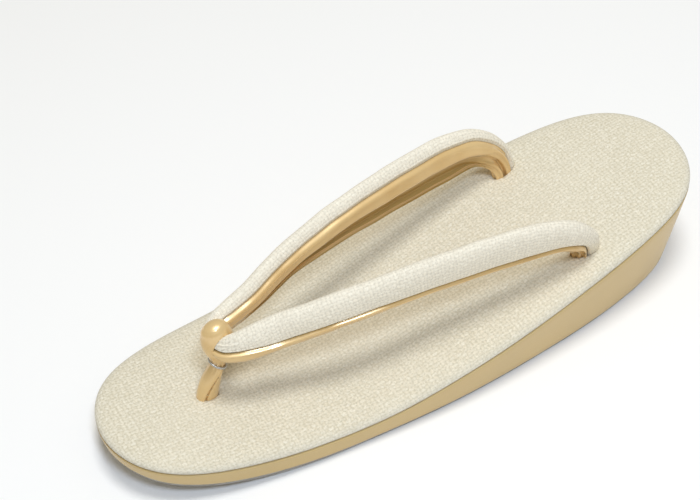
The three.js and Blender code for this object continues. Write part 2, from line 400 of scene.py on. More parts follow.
def soleOutline(steps):
    right = sole["cage"]
    cage = np.array(right + [(-x, y) for x, y in right[-2:0:-1]])
    t = np.arange(steps) / steps
    u = 1 - t
    place = np.stack([u ** 3, 3 * t ** 3 - 6 * t ** 2 + 4, 3 * u ** 3 - 6 * u ** 2 + 4, t ** 3]) / 6
    rate = np.stack([-u ** 2, 3 * t ** 2 - 4 * t, 4 * u - 3 * u ** 2, t ** 2]) / 2
    points, tangents = [], []
    for k in range(len(cage)):
        around = cage[[(k + d) % len(cage) for d in (-1, 0, 1, 2)]]
        points.append(place.T @ around)
        tangents.append(rate.T @ around)
    points, tangents = np.concatenate(points), np.concatenate(tangents)
    tangents /= np.linalg.norm(tangents, axis=1)[:, None]
    return points, np.stack([tangents[:, 1], -tangents[:, 0]], 1)


def inside(points, loop):
    x, y = points[:, 0], points[:, 1]
    hit = np.zeros(len(points), bool)
    for (ax, ay), (bx, by) in zip(loop, np.roll(loop, -1, 0)):
        if ay != by:
            hit ^= ((ay > y) != (by > y)) & (x < (bx - ax) * (y - ay) / (by - ay) + ax)
    return hit


# Triangles over a flat shape with holes, the rim's own points first, then the holes', then a grid.
def fillFlat(rim, holes, spacing):
    loops = [rim, *holes]
    points = np.concatenate(loops)
    edges, start = [], 0
    for loop in loops:
        edges += [(start + i, start + (i + 1) % len(loop)) for i in range(len(loop))]
        start += len(loop)
    low, high = rim.min(0), rim.max(0)
    rows = np.arange(low[1], high[1], spacing * 0.866)
    grid = np.array([(x + (n % 2) * spacing / 2, y) for n, y in enumerate(rows)
                     for x in np.arange(low[0], high[0], spacing)])
    keep = inside(grid, rim)
    for hole in holes:
        keep &= ~inside(grid, hole)
    grid = grid[keep]
    tree = KDTree(len(points))
    for i, p in enumerate(points):
        tree.insert((p[0], p[1], 0), i)
    tree.balance()
    clear = [p for p in grid if tree.find((p[0], p[1], 0))[2] > spacing * 0.6]
    everything = np.concatenate([points, np.array(clear)])
    found = delaunay_2d_cdt([Vector(p) for p in everything], edges, [], 0, 1e-7)
    order = [source[0] for source in found[3]]
    triangles = np.array([[order[i] for i in f] for f in found[2]])
    middles = everything[triangles].mean(1)
    keep = inside(middles, rim)
    for hole in holes:
        keep &= ~inside(middles, hole)
    return everything, triangles[keep]


# ---- the strap's path and the toe loop's path, in millimetres

strap = {
    # centre x, y, z, half width, half thickness, tilt
    "rows": [(-0.6, -75.6, 37.6, 3.8, 2.6, 80), (4.4, -73.6, 37.5, 5.2, 3.0, 84),
             (6.5, -69.6, 37.9, 6.4, 3.5, 87), (7.6, -65.0, 38.6, 7.1, 3.9, 88),
             (9.7, -55.0, 40.4, 7.8, 4.0, 89), (12.9, -45.0, 42.8, 8.1, 4.0, 91),
             (15.6, -35.0, 44.8, 8.3, 4.0, 93), (19.4, -15.0, 47.2, 9.1, 4.0, 98),
             (22.3, 5.0, 48.3, 9.7, 4.0, 100), (25.2, 25.0, 48.6, 10.0, 4.0, 101),
             (26.6, 36.0, 48.0, 9.6, 4.0, 101), (27.5, 45.2, 46.5, 8.3, 4.0, 100),
             (27.9, 52.4, 43.2, 6.9, 3.8, 96), (27.4, 57.9, 38.3, 6.0, 3.3, 93),
             (26.2, 60.6, 33.0, 5.5, 2.8, 91), (25.4, 61.2, 27.0, 5.2, 2.7, 90),
             (25.2, 61.2, 22.0, 5.0, 2.6, 90)],
    "stepsPerRow": 9,
    "inboardSlant": 0.25,
    # where the cloth meets the lining, in degrees round the section: 0 is the top edge,
    # 90 the outer face, 180 the bottom edge and -90 the inner face
    "innerRows": [0, 2, 4, 6, 8, 10, 11, 12, 14, 16],
    "innerSeam": [-50, -52, -56, -58, -58, -56, -54, -54, -58, -60],
    "outerRows": [0, 1, 2, 3, 4, 6, 7, 8, 10, 11, 12, 13, 14, 16],
    "outerSeam": [84, 82, 84, 89, 100, 103, 104, 107, 108, 107, 101, 93, 90, 90],
    "clothPoints": 54,
    "liningPoints": 72,
    # how much closer together the points stand towards both seams
    "crowding": 0.65,
    # the lining's hollow along the inner face, and the tight crease of the folded tail
    "hollowRows": [0, 2, 3, 4, 6, 8, 10, 11, 12, 13, 14, 16],
    "hollow": [0.0, 0.2, 0.9, 2.4, 3.9, 4.2, 4.3, 4.0, 2.4, 0.6, 0.0, 0.0],
    "hollowFrom": -0.08,
    "hollowTo": -0.46,
    "innerBlend": 0.45,
    "wall": 0.9,
    # painted shade: the lining's colour is darkened in the hollow where it is folded under and shade falls
    "paintedShadeFrom": -0.12,
    "paintedShadeTo": -0.62,
    "paintedShadeBlend": 0.12,
    "paintedShadeHollow": 3.0,
    "creaseRows": [0, 11.6, 12.4, 13.2, 14.0, 16],
    "crease": [0.0, 0.0, 1.0, 2.0, 2.3, 2.3],
    "creaseMiddle": -0.30,
    "creaseWidth": 0.15,
    "seamDepth": 0.62,
    "seamWidth": 0.5,
    "seamGap": 0.09,
    # under the outer seam the lining comes up tight like piping, along the inner one in a soft roll
    "piping": 0.72,
    "pipingFrom": 0.8,
    "pipingWidth": 0.52,
    # a painted shadow line along both seams of the lining: how dark, and how wide
    "seamShade": 0.85,
    "seamShadeWidth": 0.26,
    "rollDepth": 1.2,
    "rollRise": 1.5,
    "rollBulge": 0.45,
    "rollFrom": 1.9,
    "rollWidth": 1.2,
    # the lining's thickness, and how far in the cloth's hidden back lies, as a share of the section
    "backing": 0.6,
    "core": 0.68,
    "hem": 1.5,
    # pleats where the lining is folded into its slot
    "pleatRows": [0, 11.8, 12.8, 14.2, 16],
    "pleat": [0.0, 0.0, 0.34, 0.30, 0.2],
    "pleatPitch": 2.3,
    # fine gathers where the cloth is drawn together at the toe loop, fading out over these rows
    "gathers": 13,
    "gatherDepth": 0.13,
    "gatherEnd": 3.6,
    "gatherRun": 2.2,
    # how the gathers wander: size, pace, slide along the strap, start
    "wander": [(1.6, 0.31, 0.25, 0.0), (0.9, 0.17, 0.0, 2.0)],
    "unevenness": 0.22,
    "unevenOver": 9.0,
}


def strapFrames(side, steps):
    rows = np.array(strap["rows"], float)
    index = np.arange(len(rows))
    at = np.linspace(0, len(rows) - 1, steps + 1)
    x, y, z, width, thickness, tilt = (smooth(index, rows[:, c], at) for c in range(6))
    centres = np.stack([side * x, y, z], 1)
    ahead = np.gradient(centres, axis=0)
    ahead /= np.linalg.norm(ahead, axis=1)[:, None]
    inboard = np.array([-side, strap["inboardSlant"], 0.0])
    level = inboard - (ahead @ inboard)[:, None] * ahead
    level /= np.linalg.norm(level, axis=1)[:, None]
    above = np.cross(ahead, level) * side
    turn = np.radians(tilt)[:, None]
    across = level * np.cos(turn) + above * np.sin(turn)
    proud = above * np.cos(turn) - level * np.sin(turn)
    return at, centres, across, proud, width, thickness


toeLoop = {
    # y, z, half width across, half depth along
    "rows": [(-81.0, 7.5, 2.9, 4.0), (-80.9, 11.5, 3.0, 4.1), (-80.1, 15.5, 3.0, 4.1),
             (-78.5, 20.0, 3.0, 3.8), (-76.6, 24.0, 2.9, 3.0), (-75.0, 27.2, 2.7, 2.6),
             (-74.2, 30.8, 3.6, 3.7), (-73.9, 34.6, 4.4, 5.3), (-73.8, 38.2, 4.6, 5.9),
             (-74.0, 41.5, 4.4, 5.6), (-74.3, 44.3, 3.7, 4.7), (-74.5, 45.8, 2.5, 3.2)],
    "crown": 0.6,
    "stepsPerRow": 7,
    "sides": 72,
    "clearance": 0.12,
    # the open seam down the post, degrees round from the right side towards the heel
    "seamAt": [-34, -30, -22, -6, 14, 32, 36, 36, 36, 36, 36, 36],
    "seamOpen": [1, 1, 1, 1, 1, 0.5, 0, 0, 0, 0, 0, 0],
    "seamDepth": 0.8,
    "seamWidth": 0.34,
    # how far the sides bunch towards the seam, so that its lips stay crisp
    "crowding": 0.75,
    "lap": 0.3,
    "lapWidth": 1.8,
    "lapPlace": 0.6,
    "neckRow": 5.0,
    "neckRows": 0.9,
    "gathers": 11,
    "gatherDepth": 0.13,
    # the stitched stretch of the seam, in rows, and how deep its stitches sit
    "stitchedRows": (1.4, 4.5),
    "stitchInset": 0.25,
    "sharpAbove": 50,
}


def loopFrames(steps):
    rows = np.array(toeLoop["rows"], float)
    index = np.arange(len(rows))
    at = np.linspace(0, len(rows) - 1, steps + 1)
    y, z, across, along = (smooth(index, rows[:, c], at) for c in range(4))
    centres = np.stack([np.zeros_like(y), y, z], 1)
    ahead = np.gradient(centres, axis=0)
    ahead /= np.linalg.norm(ahead, axis=1)[:, None]
    rear = np.cross(ahead, (1.0, 0.0, 0.0))
    return at, centres, rear, across, along


pockets = {
    "points": 40,
    "above": 3.0,
    "strapSteps": 320,
    "tailFrom": 12,
    "loopSteps": 220,
}


# Outline of what goes down through the footbed at the height of its top: two tails and the post.
def pocketOutlines(clearance, s=pockets):
    loops = []
    turn = np.linspace(0, 2 * np.pi, s["points"], endpoint=False)
    for side in (1, -1):
        at, centres, across, proud, width, thickness = strapFrames(side, s["strapSteps"])
        low = centres[:, 2] < rimHeight(centres[:, 1]) + s["above"]
        k = int(np.argmax((at > s["tailFrom"]) & low))
        ring = (centres[k] + np.outer(np.cos(turn), across[k]) * (width[k] + clearance)
                + np.outer(np.sin(turn), proud[k]) * (thickness[k] + clearance))
        loops.append(ring[:, :2])
    at, centres, rear, across, along = loopFrames(s["loopSteps"])
    k = int(np.argmax(centres[:, 2] > rimHeight(centres[:, 1]) + s["above"]))
    x = np.cos(turn) * (across[k] + clearance)
    y = centres[k, 1] + np.sin(turn) * (along[k] + clearance)
    loops.append(np.stack([x, y], 1))
    return loops


# ---- outsole: a thin board with shallow cross ribs under it

outsoleLook = {
    "steps": 22,
    "spacing": 5.0,
    "inset": 0.6,
    "edge": 0.25,
    "ribHeight": 0.45,
    "ribWidth": 1.1,
    "ribPitch": 2.6,
    "ribMargin": 4.0,
    "ribsFrom": -108,
    "ribsTo": 104,
    "ribPoints": 5,
    # the ribs stay this far off the floor
    "ribLift": 0.03,
    "board": (0.30, 0.285, 0.26),
    "streak": (0.52, 0.51, 0.49),
    "grit": (0.2, 0.19, 0.18),
    "streakScale": (60, 60, 2600),
    "streakRange": (0.4, 0.65),
    "gritScale": 1500.0,
    "gritShare": 0.35,
    "gritRelief": 0.6,
    "relief": 0.15,
    "bump": 0.6,
    "rough": 0.75,
}


def outsoleMaterial(s):
    material, tree, shader = newMaterial("outsole_board")
    spot = addNode(tree, "ShaderNodeTexCoord").outputs["Object"]
    spread = addNode(tree, "ShaderNodeMapping", {"Vector": spot, "Scale": s["streakScale"]}).outputs[0]
    layers = noiseOn(tree, spread, 1.0, 3.0)
    grit = noiseOn(tree, spot, s["gritScale"], 3.0)
    colour = mixColours(tree, remap(tree, layers, s["streakRange"]), s["board"], s["streak"])
    colour = mixColours(tree, maths(tree, "MULTIPLY", grit, s["gritShare"]), colour, s["grit"])
    tree.links.new(colour, shader.inputs["Base Color"])
    addBump(tree, shader, maths(tree, "MULTIPLY_ADD", grit, s["gritRelief"], layers), s["relief"], s["bump"])
    shader.inputs["Roughness"].default_value = s["rough"]
    return material


def wallInset(y, height):
    foot = groundHeight(y)
    share = np.clip((rimHeight(y) - height) / (rimHeight(y) - foot), 0, 1)
    return smooth(sole["stations"], sole["lean"], y) * share


# Rings up the side of a sole piece; each is (how far out of the outline, height), as functions of y.
def soleRings(outline, normals, rings):
    made = []
    for out, height in rings:
        offset = out(outline[:, 1])
        y = outline[:, 1] + normals[:, 1] * offset
        made.append(np.stack([outline[:, 0] + normals[:, 0] * offset, y, height(y)], 1))
    return made


# Closes a stack of rings with flat fills at both ends, with wells or through holes in them.
def closeStack(rings, spacing, topOf, bottomOf, wells=(), wellFloors=(), through=False):
    count = len(rings[0])
    points = list(rings)
    faces = ringFaces(len(rings), count)
    total = count * len(rings)
    topPlaces, topFaces = fillFlat(rings[-1][:, :2], list(wells), spacing)
    lowPlaces, lowFaces = fillFlat(rings[0][:, :2], list(wells) if through else [], spacing * 1.6)

    def place(flat, triangles, first, heightOf, flip):
        nonlocal total
        inner = flat[count:]
        points.append(np.column_stack([inner, heightOf(inner[:, 1])]))
        ids = np.concatenate([first + np.arange(count), total + np.arange(len(inner))])
        a, b, c = (flat[triangles[:, n]].T for n in range(3))
        turn = (b[0] - a[0]) * (c[1] - a[1]) - (b[1] - a[1]) * (c[0] - a[0])
        for tri, sign in zip(triangles, turn):
            face = ids[tri]
            faces.append(tuple(face if (sign > 0) != flip else face[::-1]))
        start = total
        total += len(inner)
        return start

    topStart = place(topPlaces, topFaces, count * (len(rings) - 1), topOf, False)
    lowStart = place(lowPlaces, lowFaces, 0, bottomOf, True)
    for n, well in enumerate(wells):
        size = len(well)
        upper = topStart + n * size
        if through:
            lower = lowStart + n * size
        else:
            points.append(np.column_stack([well, np.full(size, wellFloors[n])]))
            lower = total
            total += size
            points.append(np.array([[*well.mean(0), wellFloors[n]]]))
            faces.extend((lower + i, lower + (i + 1) % size, total) for i in range(size))
            total += 1
        for i in range(size):
            j = (i + 1) % size
            faces.append((upper + j, upper + i, lower + i, lower + j))
    return np.concatenate(points), faces


def makeOutsole(s):
    outline, normals = soleOutline(s["steps"])
    inset = lambda y: -wallInset(y, groundHeight(y)) - s["inset"]
    bottom = lambda y: groundHeight(y) + s["ribHeight"]
    top = lambda y: groundHeight(y) + sole["outsole"]
    rings = soleRings(outline, normals, [
        (lambda y: inset(y) - s["edge"] * 2, bottom),
        (lambda y: inset(y) - s["edge"] * 0.6, lambda y: bottom(y) + s["edge"] * 0.3),
        (inset, lambda y: bottom(y) + s["edge"]),
        (inset, lambda y: top(y) - s["edge"]),
        (lambda y: inset(y) - s["edge"] * 0.6, top),
    ])
    points, faces = closeStack(rings, s["spacing"], top, bottom)
    board = makePiece("outsole_board", points, faces, outsoleMaterial(s))
    facesOutward(board)

    # one line across the sole for each rib
    guides, lines = [], []
    loop = rings[0][:, :2]
    half = len(loop) // 2
    for y in np.arange(s["ribsFrom"], s["ribsTo"], s["ribPitch"]):
        x = np.interp(y, loop[:half + 1, 1], loop[:half + 1, 0]) - s["ribMargin"]
        first = len(guides)
        height = float(groundHeight(y)) + s["ribHeight"] / 2 + s["ribLift"]
        guides += [(g, y, height) for g in np.linspace(-x, x, s["ribPoints"])]
        lines += [(first + i, first + i + 1) for i in range(s["ribPoints"] - 1)]
    ribs = makeGuide("outsole_ribs", guides, lines)
    growRibs(ribs, s, board.data.materials[0])
    finishPiece(board, "outsole")
    finishPiece(ribs)


def newTree(name, inputs):
    tree = bpy.data.node_groups.new(name, "GeometryNodeTree")
    tree.interface.new_socket(name="Geometry", in_out="INPUT", socket_type="NodeSocketGeometry")
    names = {}
    for label, kind, value in inputs:
        socket = tree.interface.new_socket(name=label, in_out="INPUT", socket_type=kind)
        if value is not None:
            socket.default_value = value
        names[label] = socket.identifier
    tree.interface.new_socket(name="Geometry", in_out="OUTPUT", socket_type="NodeSocketGeometry")
    start = tree.nodes.new("NodeGroupInput")
    end = tree.nodes.new("NodeGroupOutput")
    return tree, start, end, names


# The last two nodes of every tree: real meshes in place of instances, with their material.
def endTree(tree, start, end, shape):
    real = addNode(tree, "GeometryNodeRealizeInstances", {"Geometry": shape})
    painted = addNode(tree, "GeometryNodeSetMaterial",
                      {"Geometry": real.outputs["Geometry"], "Material": start.outputs["Material"]})
    tree.links.new(painted.outputs["Geometry"], end.inputs["Geometry"])


# Runs a node tree on a guide and keeps the result as a plain mesh.
def growWith(piece, tree, names, values):
    modifier = piece.modifiers.new(tree.name, "NODES")
    modifier.node_group = tree
    for label, value in values.items():
        modifier[names[label]] = value
    settle(piece)


def growRibs(ribs, s, material):
    tree, start, end, names = newTree("sole_ribs", [
        ("Rib Width", "NodeSocketFloat", 0.001),
        ("Rib Height", "NodeSocketFloat", 0.0005),
        ("Material", "NodeSocketMaterial", None),
    ])
    lines = addNode(tree, "GeometryNodeMeshToCurve", {"Mesh": start.outputs["Geometry"]})
    upright = addNode(tree, "GeometryNodeSetCurveNormal", {"Curve": lines.outputs["Curve"]}, mode="Z_UP")
    section = addNode(tree, "GeometryNodeCurvePrimitiveQuadrilateral",
                      {"Width": start.outputs["Rib Width"], "Height": start.outputs["Rib Height"]})
    bars = addNode(tree, "GeometryNodeCurveToMesh", {
        "Curve": upright.outputs["Curve"], "Profile Curve": section.outputs["Curve"], "Fill Caps": True})
    flat = addNode(tree, "GeometryNodeSetShadeSmooth",
                   {"Geometry": bars.outputs["Mesh"], "Shade Smooth": False})
    endTree(tree, start, end, flat.outputs["Geometry"])
    growWith(ribs, tree, names, {
        "Rib Width": s["ribWidth"] * mm, "Rib Height": s["ribHeight"] * mm, "Material": material})


makeOutsole(outsoleLook)
print("outsole and ribs ready")


# ---- wedge in its wrapped leather cover

wedgeLook = {
    "steps": 24,
    "spacing": 5.0,
    "seamTuck": 0.5,
    "wallRings": 9,
    # heights of the floors of the wells for the two tails and the post
    "wells": (21.2, 21.2, 6.9),
    "wellClearance": 0.5,
    # the cover swells and dips a hair along the wall: depth, then share, waves and start of each swell
    "ripple": 0.10,
    "swells": [(0.6, 5, 0.7), (0.4, 11, 2.1)],
    "leather": {
        **plainLeather,
        "deep": (0.59, 0.425, 0.18),
        "light": (0.65, 0.47, 0.205),
        "worn": (0.76, 0.61, 0.38),
        "slowScale": 22.0,
        "pebbleScale": 1500.0,
        "fineScale": 2400.0,
        "speck": 0.25,
        "relief": 0.035,
        "rough": (0.36, 0.44),
        "metal": 0.0,
        "coat": 0.12,
        "coatRough": 0.3,
    },
}


def makeWedge(s):
    outline, normals = soleOutline(s["steps"])
    bottom = lambda y: groundHeight(y) + sole["outsole"] + sole["gap"]
    tuck = s["seamTuck"]

    phase = np.linspace(0, 2 * np.pi, len(outline), endpoint=False)
    ripple = s["ripple"] * sum(share * np.sin(waves * phase + start) for share, waves, start in s["swells"])

    def wall(share):
        height = lambda y: bottom(y) + tuck + (rimHeight(y) - bottom(y) - 2 * tuck) * share
        return lambda y: -wallInset(y, height(y)) + ripple * math.sin(math.pi * share), height

    rings = [(lambda y: -wallInset(y, bottom(y)) - tuck * 1.2, bottom),
             (lambda y: -wallInset(y, bottom(y)) - tuck * 0.35, lambda y: bottom(y) + tuck * 0.2)]
    rings += [wall(share) for share in np.linspace(0, 1, s["wallRings"])]
    rings += [(lambda y: np.full_like(y, -tuck * 0.2), lambda y: rimHeight(y) - tuck * 0.25),
              (lambda y: np.full_like(y, -tuck * 0.8), rimHeight)]
    points, faces = closeStack(soleRings(outline, normals, rings), s["spacing"], rimHeight, bottom,
                               pocketOutlines(s["wellClearance"]), s["wells"])
    wedge = makePiece("wedge_cover", points, faces, coatedLeather("sole_cover_leather", s["leather"]))
    facesOutward(wedge)
    finishPiece(wedge, "midsole")


makeWedge(wedgeLook)
print("wedge ready")


# ---- footbed: a thin pad in woven cloth, puffed by a short cloth simulation

padLook = {
    "steps": 18,
    "spacing": 2.2,
    # from the underside round to the top: out of the outline, up from the wedge
    "roll": [(-0.9, 0.0), (-0.2, 0.3), (0.0, 0.9), (-0.3, 1.6),
             (-1.0, 2.15), (-2.2, 2.5), (-3.8, 2.65), (-6.0, 2.7)],
    "holeClearance": 0.06,
    # the simulation holds what is below this height over the wedge, and no point moves further than most
    "heldBelow": 1.2,
    "pressure": 4.0,
    "quality": 6,
    "mass": 0.3,
    "frames": 20,
    "most": 0.6,
    "dimple": 0.25,
    "dimpleWidth": 3.0,
    # a point this close to a hole's rim is on it
    "onHole": 0.01,
    # painted shade: the cloth's colour is darkened where it is drawn down round the edge, where less light
    # falls
    "rimFrom": 2.55,
    "rimShade": 0.55,
    "rimFade": 0.7,
    "cloth": {
        **plainWeave,
        "warpPitch": 1.42,
        "weftPitch": 1.62,
        "driftScale": 460.0,
        "fuzz": 0.70,
        "uneven": 0.24,
        "cloudScale": 22.0,
        "cloud": 0.25,
        # pit colour: painted shade in the gaps between threads, also the tone of darker crossings and fibres
        "pitShadeAndFleck": (0.57, 0.505, 0.36),
        "warpBright": (0.905, 0.845, 0.705),
        "warpDull": (0.865, 0.785, 0.615),
        "weftBright": (0.885, 0.815, 0.665),
        "weftDull": (0.845, 0.755, 0.575),
        "relief": 0.30,
        "bump": 0.5,
        # the painted shade colour down the pad's edge
        "rim": (0.50, 0.49, 0.44),
    },
}


def puff(pad, s, held):
    start = np.array([v.co for v in pad.data.vertices])
    group = pad.vertex_groups.new(name="held")
    group.add([int(i) for i in np.flatnonzero(held)], 1.0, "REPLACE")
    cloth = pad.modifiers.new("puff", "CLOTH")
    cloth.settings.quality = s["quality"]
    cloth.settings.mass = s["mass"]
    cloth.settings.vertex_group_mass = "held"
    cloth.settings.use_pressure = True
    cloth.settings.uniform_pressure_force = s["pressure"]
    cloth.settings.effector_weights.gravity = 0
    cloth.collision_settings.use_collision = False
    cloth.point_cache.frame_start = 1
    cloth.point_cache.frame_end = s["frames"]
    for number in range(1, s["frames"] + 1):
        bpy.context.scene.frame_set(number)
    evaluated = pad.evaluated_get(bpy.context.evaluated_depsgraph_get())
    moved = np.array([v.co for v in evaluated.data.vertices]) - start
    far = np.linalg.norm(moved, axis=1)[:, None]
    most = s["most"] * mm
    moved *= most * np.tanh(far / most) / np.maximum(far, 1e-9)
    pad.modifiers.clear()
    pad.vertex_groups.clear()
    bpy.context.scene.frame_set(1)
    pad.data.vertices.foreach_set("co", (start + moved).astype(np.float32).ravel())
    pad.data.update()
    print("footbed puffed, moved at most", round(float(far.max()) * 1000, 2), "mm before the cap")


# How far each place is from the nearest point of a hole's rim, seen from above.
def awayFrom(places, hole):
    return np.linalg.norm(places[:, None, :2] - hole[None], axis=2).min(1)


def makePad(s):
    outline, normals = soleOutline(s["steps"])
    base = lambda y: rimHeight(y) + sole["gap"]
    lift = s["roll"][-1][1]

    def rollRing(out, up):
        return lambda y: np.full_like(y, out), lambda y: base(y) + up

    rings = soleRings(outline, normals, [rollRing(out, up) for out, up in s["roll"]])
    holes = pocketOutlines(s["holeClearance"])
    points, faces = closeStack(rings, s["spacing"], lambda y: base(y) + lift, base, holes, through=True)
    pad = makePiece("footbed_pad", points, faces, wovenCloth("footbed_weave", s["cloth"]))
    facesOutward(pad)

    above = points[:, 2] - base(points[:, 1])
    puff(pad, s, above < s["heldBelow"])

    # the pad is drawn down a little where the straps and the post go through it
    places = np.array([v.co for v in pad.data.vertices]) / mm
    for hole in holes:
        drawn = np.exp(-(awayFrom(places, hole) / s["dimpleWidth"]) ** 2)
        places[:, 2] -= s["dimple"] * drawn * np.clip(above / lift, 0, 1)
    pad.data.vertices.foreach_set("co", (places * mm).astype(np.float32).ravel())

    # the weave runs straight over the top and on down the edge
    tree = KDTree(len(outline))
    for i, p in enumerate(outline):
        tree.insert((p[0], p[1], 0), i)
    tree.balance()
    nearest = np.array([tree.find((p[0], p[1], 0))[1] for p in points])
    down = np.maximum(lift - above, 0)[:, None]
    layWeave(pad, points[:, :2] + normals[nearest] * down)
    # painted shade down the pad's edge, kept in the rim attribute
    rim = pad.data.attributes.new("rim", "FLOAT", "POINT")
    shade = s["rimShade"] * np.clip((s["rimFrom"] - above) / s["rimFrom"], 0, 1) ** s["rimFade"]
    rim.data.foreach_set("value", shade.astype(np.float32))

    # the holes' edges keep their shape when the pad is made finer
    atHole = np.zeros(len(points), bool)
    for hole in holes:
        atHole |= awayFrom(points, hole) < s["onHole"]
    crease = pad.data.attributes.new("crease_edge", "FLOAT", "EDGE")
    ends = [e.vertices for e in pad.data.edges]
    crease.data.foreach_set("value", [float(atHole[a] and atHole[b]) for a, b in ends])
    softer = pad.modifiers.new("softer", "SUBSURF")
    softer.levels = 1
    softer.render_levels = 1
    settle(pad)
    finishPiece(pad, "insole")


makePad(padLook)
print("footbed ready")


# ---- strap: a stuffed roll in cloth, lined with leather on its inner and lower side

strapCloth = {
    **plainWeave,
    "warpPitch": 1.25,
    "weftPitch": 1.35,
    "driftScale": 480.0,
    "fuzz": 0.62,
    "uneven": 0.22,
    "cloudScale": 30.0,
    "cloud": 0.2,
    # pit colour: painted shade in the gaps between threads, also the tone of darker crossings and fibres
    "pitShadeAndFleck": (0.65, 0.59, 0.475),
    "warpBright": (0.99, 0.93, 0.785),
    "warpDull": (0.97, 0.89, 0.725),
    "weftBright": (0.99, 0.915, 0.76),
    "weftDull": (0.95, 0.86, 0.695),
    "relief": 0.28,
    "bump": 0.45,
}

strapLeather = {
    **plainLeather,
    "deep": (0.75, 0.49, 0.20),
    "light": (0.86, 0.62, 0.30),
    "worn": (0.88, 0.72, 0.46),
    "slowScale": 45.0,
    "pebbleScale": 1900.0,
    "fineScale": 2600.0,
    "speck": 0.2,
    "relief": 0.016,
    "rough": (0.27, 0.34),
    "metal": 0.28,
    "coat": 0.9,
    "coatRough": 0.15,
    # the painted shade colour, mixed in where the lining is folded under and along its seams
    "paintedShade": (0.47, 0.295, 0.08),
}


# Strap section at one place on the path: the arc from one angle to another, pushed in at both
# ends where the seam pulls. Returns the arc, its outward normals, the length along it and how
# much painted shade each point takes, in the hollow where it is folded under and along the seams.
def sectionArc(width, thickness, start, end, count, hollow, crease, pleat, s, lining):
    steps = np.linspace(0, 1, count)
    steps = steps - s["crowding"] * np.sin(2 * np.pi * steps) / (2 * np.pi)
    angle = np.radians(start + (end - start) * steps)
    level = np.cos(angle)
    innerFace = np.clip(-np.sin(angle) / s["innerBlend"], 0, 1)
    share = np.clip((s["hollowFrom"] - level) / (s["hollowFrom"] - s["hollowTo"]), 0, 1)
    pressed = hollow * share * share * (3 - 2 * share)
    pressed = pressed + crease * bell(level, s["creaseMiddle"], s["creaseWidth"])
    out = thickness * np.sin(angle) + innerFace * pressed
    room = np.maximum(-thickness * np.sin(angle) - s["wall"], thickness * np.sin(angle))
    out = np.where(np.sin(angle) < 0, np.minimum(out, room), out)
    section = np.stack([width * level, out], 1)
    step = np.gradient(section, axis=0)
    length = np.concatenate([[0], np.cumsum(np.linalg.norm(np.diff(section, axis=0), axis=1))])
    step /= np.linalg.norm(step, axis=1)[:, None]
    normal = np.stack([step[:, 1], -step[:, 0]], 1)
    rest = length[-1] - length
    ends = np.minimum(length, rest)
    if lining:
        push = (s["piping"] * bell(length, s["pipingFrom"], s["pipingWidth"])
                - s["seamDepth"] * bell(length, 0, s["seamWidth"])
                + s["rollBulge"] * bell(rest, s["rollFrom"], s["rollWidth"])
                - s["rollDepth"] * bell(rest, 0, s["rollRise"])
                + pleat * np.sin(2 * np.pi * length / s["pleatPitch"]))
    else:
        push = -s["seamDepth"] * bell(ends, 0, s["seamWidth"])
    # painted shade: darker deep in the hollow where the lining is folded under, plus a painted shadow line
    # along both seams
    under = np.clip((s["paintedShadeFrom"] - level) / (s["paintedShadeFrom"] - s["paintedShadeTo"]), 0, 1)
    paintedShade = np.clip(-np.sin(angle) / s["paintedShadeBlend"], 0, 1) * under * min(hollow / s["paintedShadeHollow"], 1)
    paintedShade = np.maximum(paintedShade, s["seamShade"] * bell(ends, 0, s["seamShadeWidth"]))
    return section + normal * push[:, None], normal, length, paintedShade


def strapShell(side, s, lining):
    steps = (len(s["rows"]) - 1) * s["stepsPerRow"]
    at, centres, across, proud, width, thickness = strapFrames(side, steps)
    innerSeam = smooth(s["innerRows"], s["innerSeam"], at)
    outerSeam = smooth(s["outerRows"], s["outerSeam"], at)
    hollow = smooth(s["hollowRows"], s["hollow"], at)
    crease = np.interp(at, s["creaseRows"], s["crease"])
    pleat = np.interp(at, s["pleatRows"], s["pleat"])
    run = np.concatenate([[0], np.cumsum(np.linalg.norm(np.diff(centres, axis=0), axis=1))])
    rings, places, paintedShades = [], [], []
    for k in range(len(at)):
        gapAngle = math.degrees(s["seamGap"] / thickness[k])
        if lining:
            first, last, count = outerSeam[k] + gapAngle, 360 + innerSeam[k] - gapAngle, s["liningPoints"]
        else:
            first, last, count = innerSeam[k] + gapAngle, outerSeam[k] - gapAngle, s["clothPoints"]
        arc, normal, length, paintedShade = sectionArc(width[k], thickness[k], first, last, count,
                                               hollow[k], crease[k], pleat[k], s, lining)
        if lining:
            back = arc - normal * s["backing"]
        else:
            gathered = np.clip((s["gatherEnd"] - at[k]) / s["gatherRun"], 0, 1)
            wave = np.linspace(0, s["gathers"] * 2 * np.pi, count)
            wave = wave + sum(size * np.sin(wave * pace + slide * at[k] + start)
                              for size, pace, slide, start in s["wander"])
            swell = s["gatherDepth"] * gathered * np.sin(wave)
            arc = arc * (1 + swell / thickness[k])[:, None]
            back = arc * s["core"]
        ring = np.concatenate([arc, back[::-1]])
        rings.append(centres[k] + np.outer(ring[:, 0], across[k]) + np.outer(ring[:, 1], proud[k]))
        around = np.concatenate([length, length[-1] + s["hem"] + (length[-1] - length[::-1])])
        places.append(np.stack([around, np.full(len(around), run[k])], 1))
        paintedShades.append(np.concatenate([paintedShade, paintedShade[::-1]]))
    count = len(rings[0])
    points = np.concatenate(rings)
    for i, p in enumerate(points):
        points[i] = p + Vector(noise.noise_vector(Vector(p) / s["unevenOver"])) * s["unevenness"]
    faces = ringFaces(len(rings), count)
    for row in (0, len(rings) - 1):
        half = count // 2
        for i in range(half - 1):
            a, b = row * count + i, row * count + i + 1
            c, d = row * count + count - 2 - i, row * count + count - 1 - i
            faces.append((a, b, c, d))
    return points, faces, np.concatenate(places), np.concatenate(paintedShades)


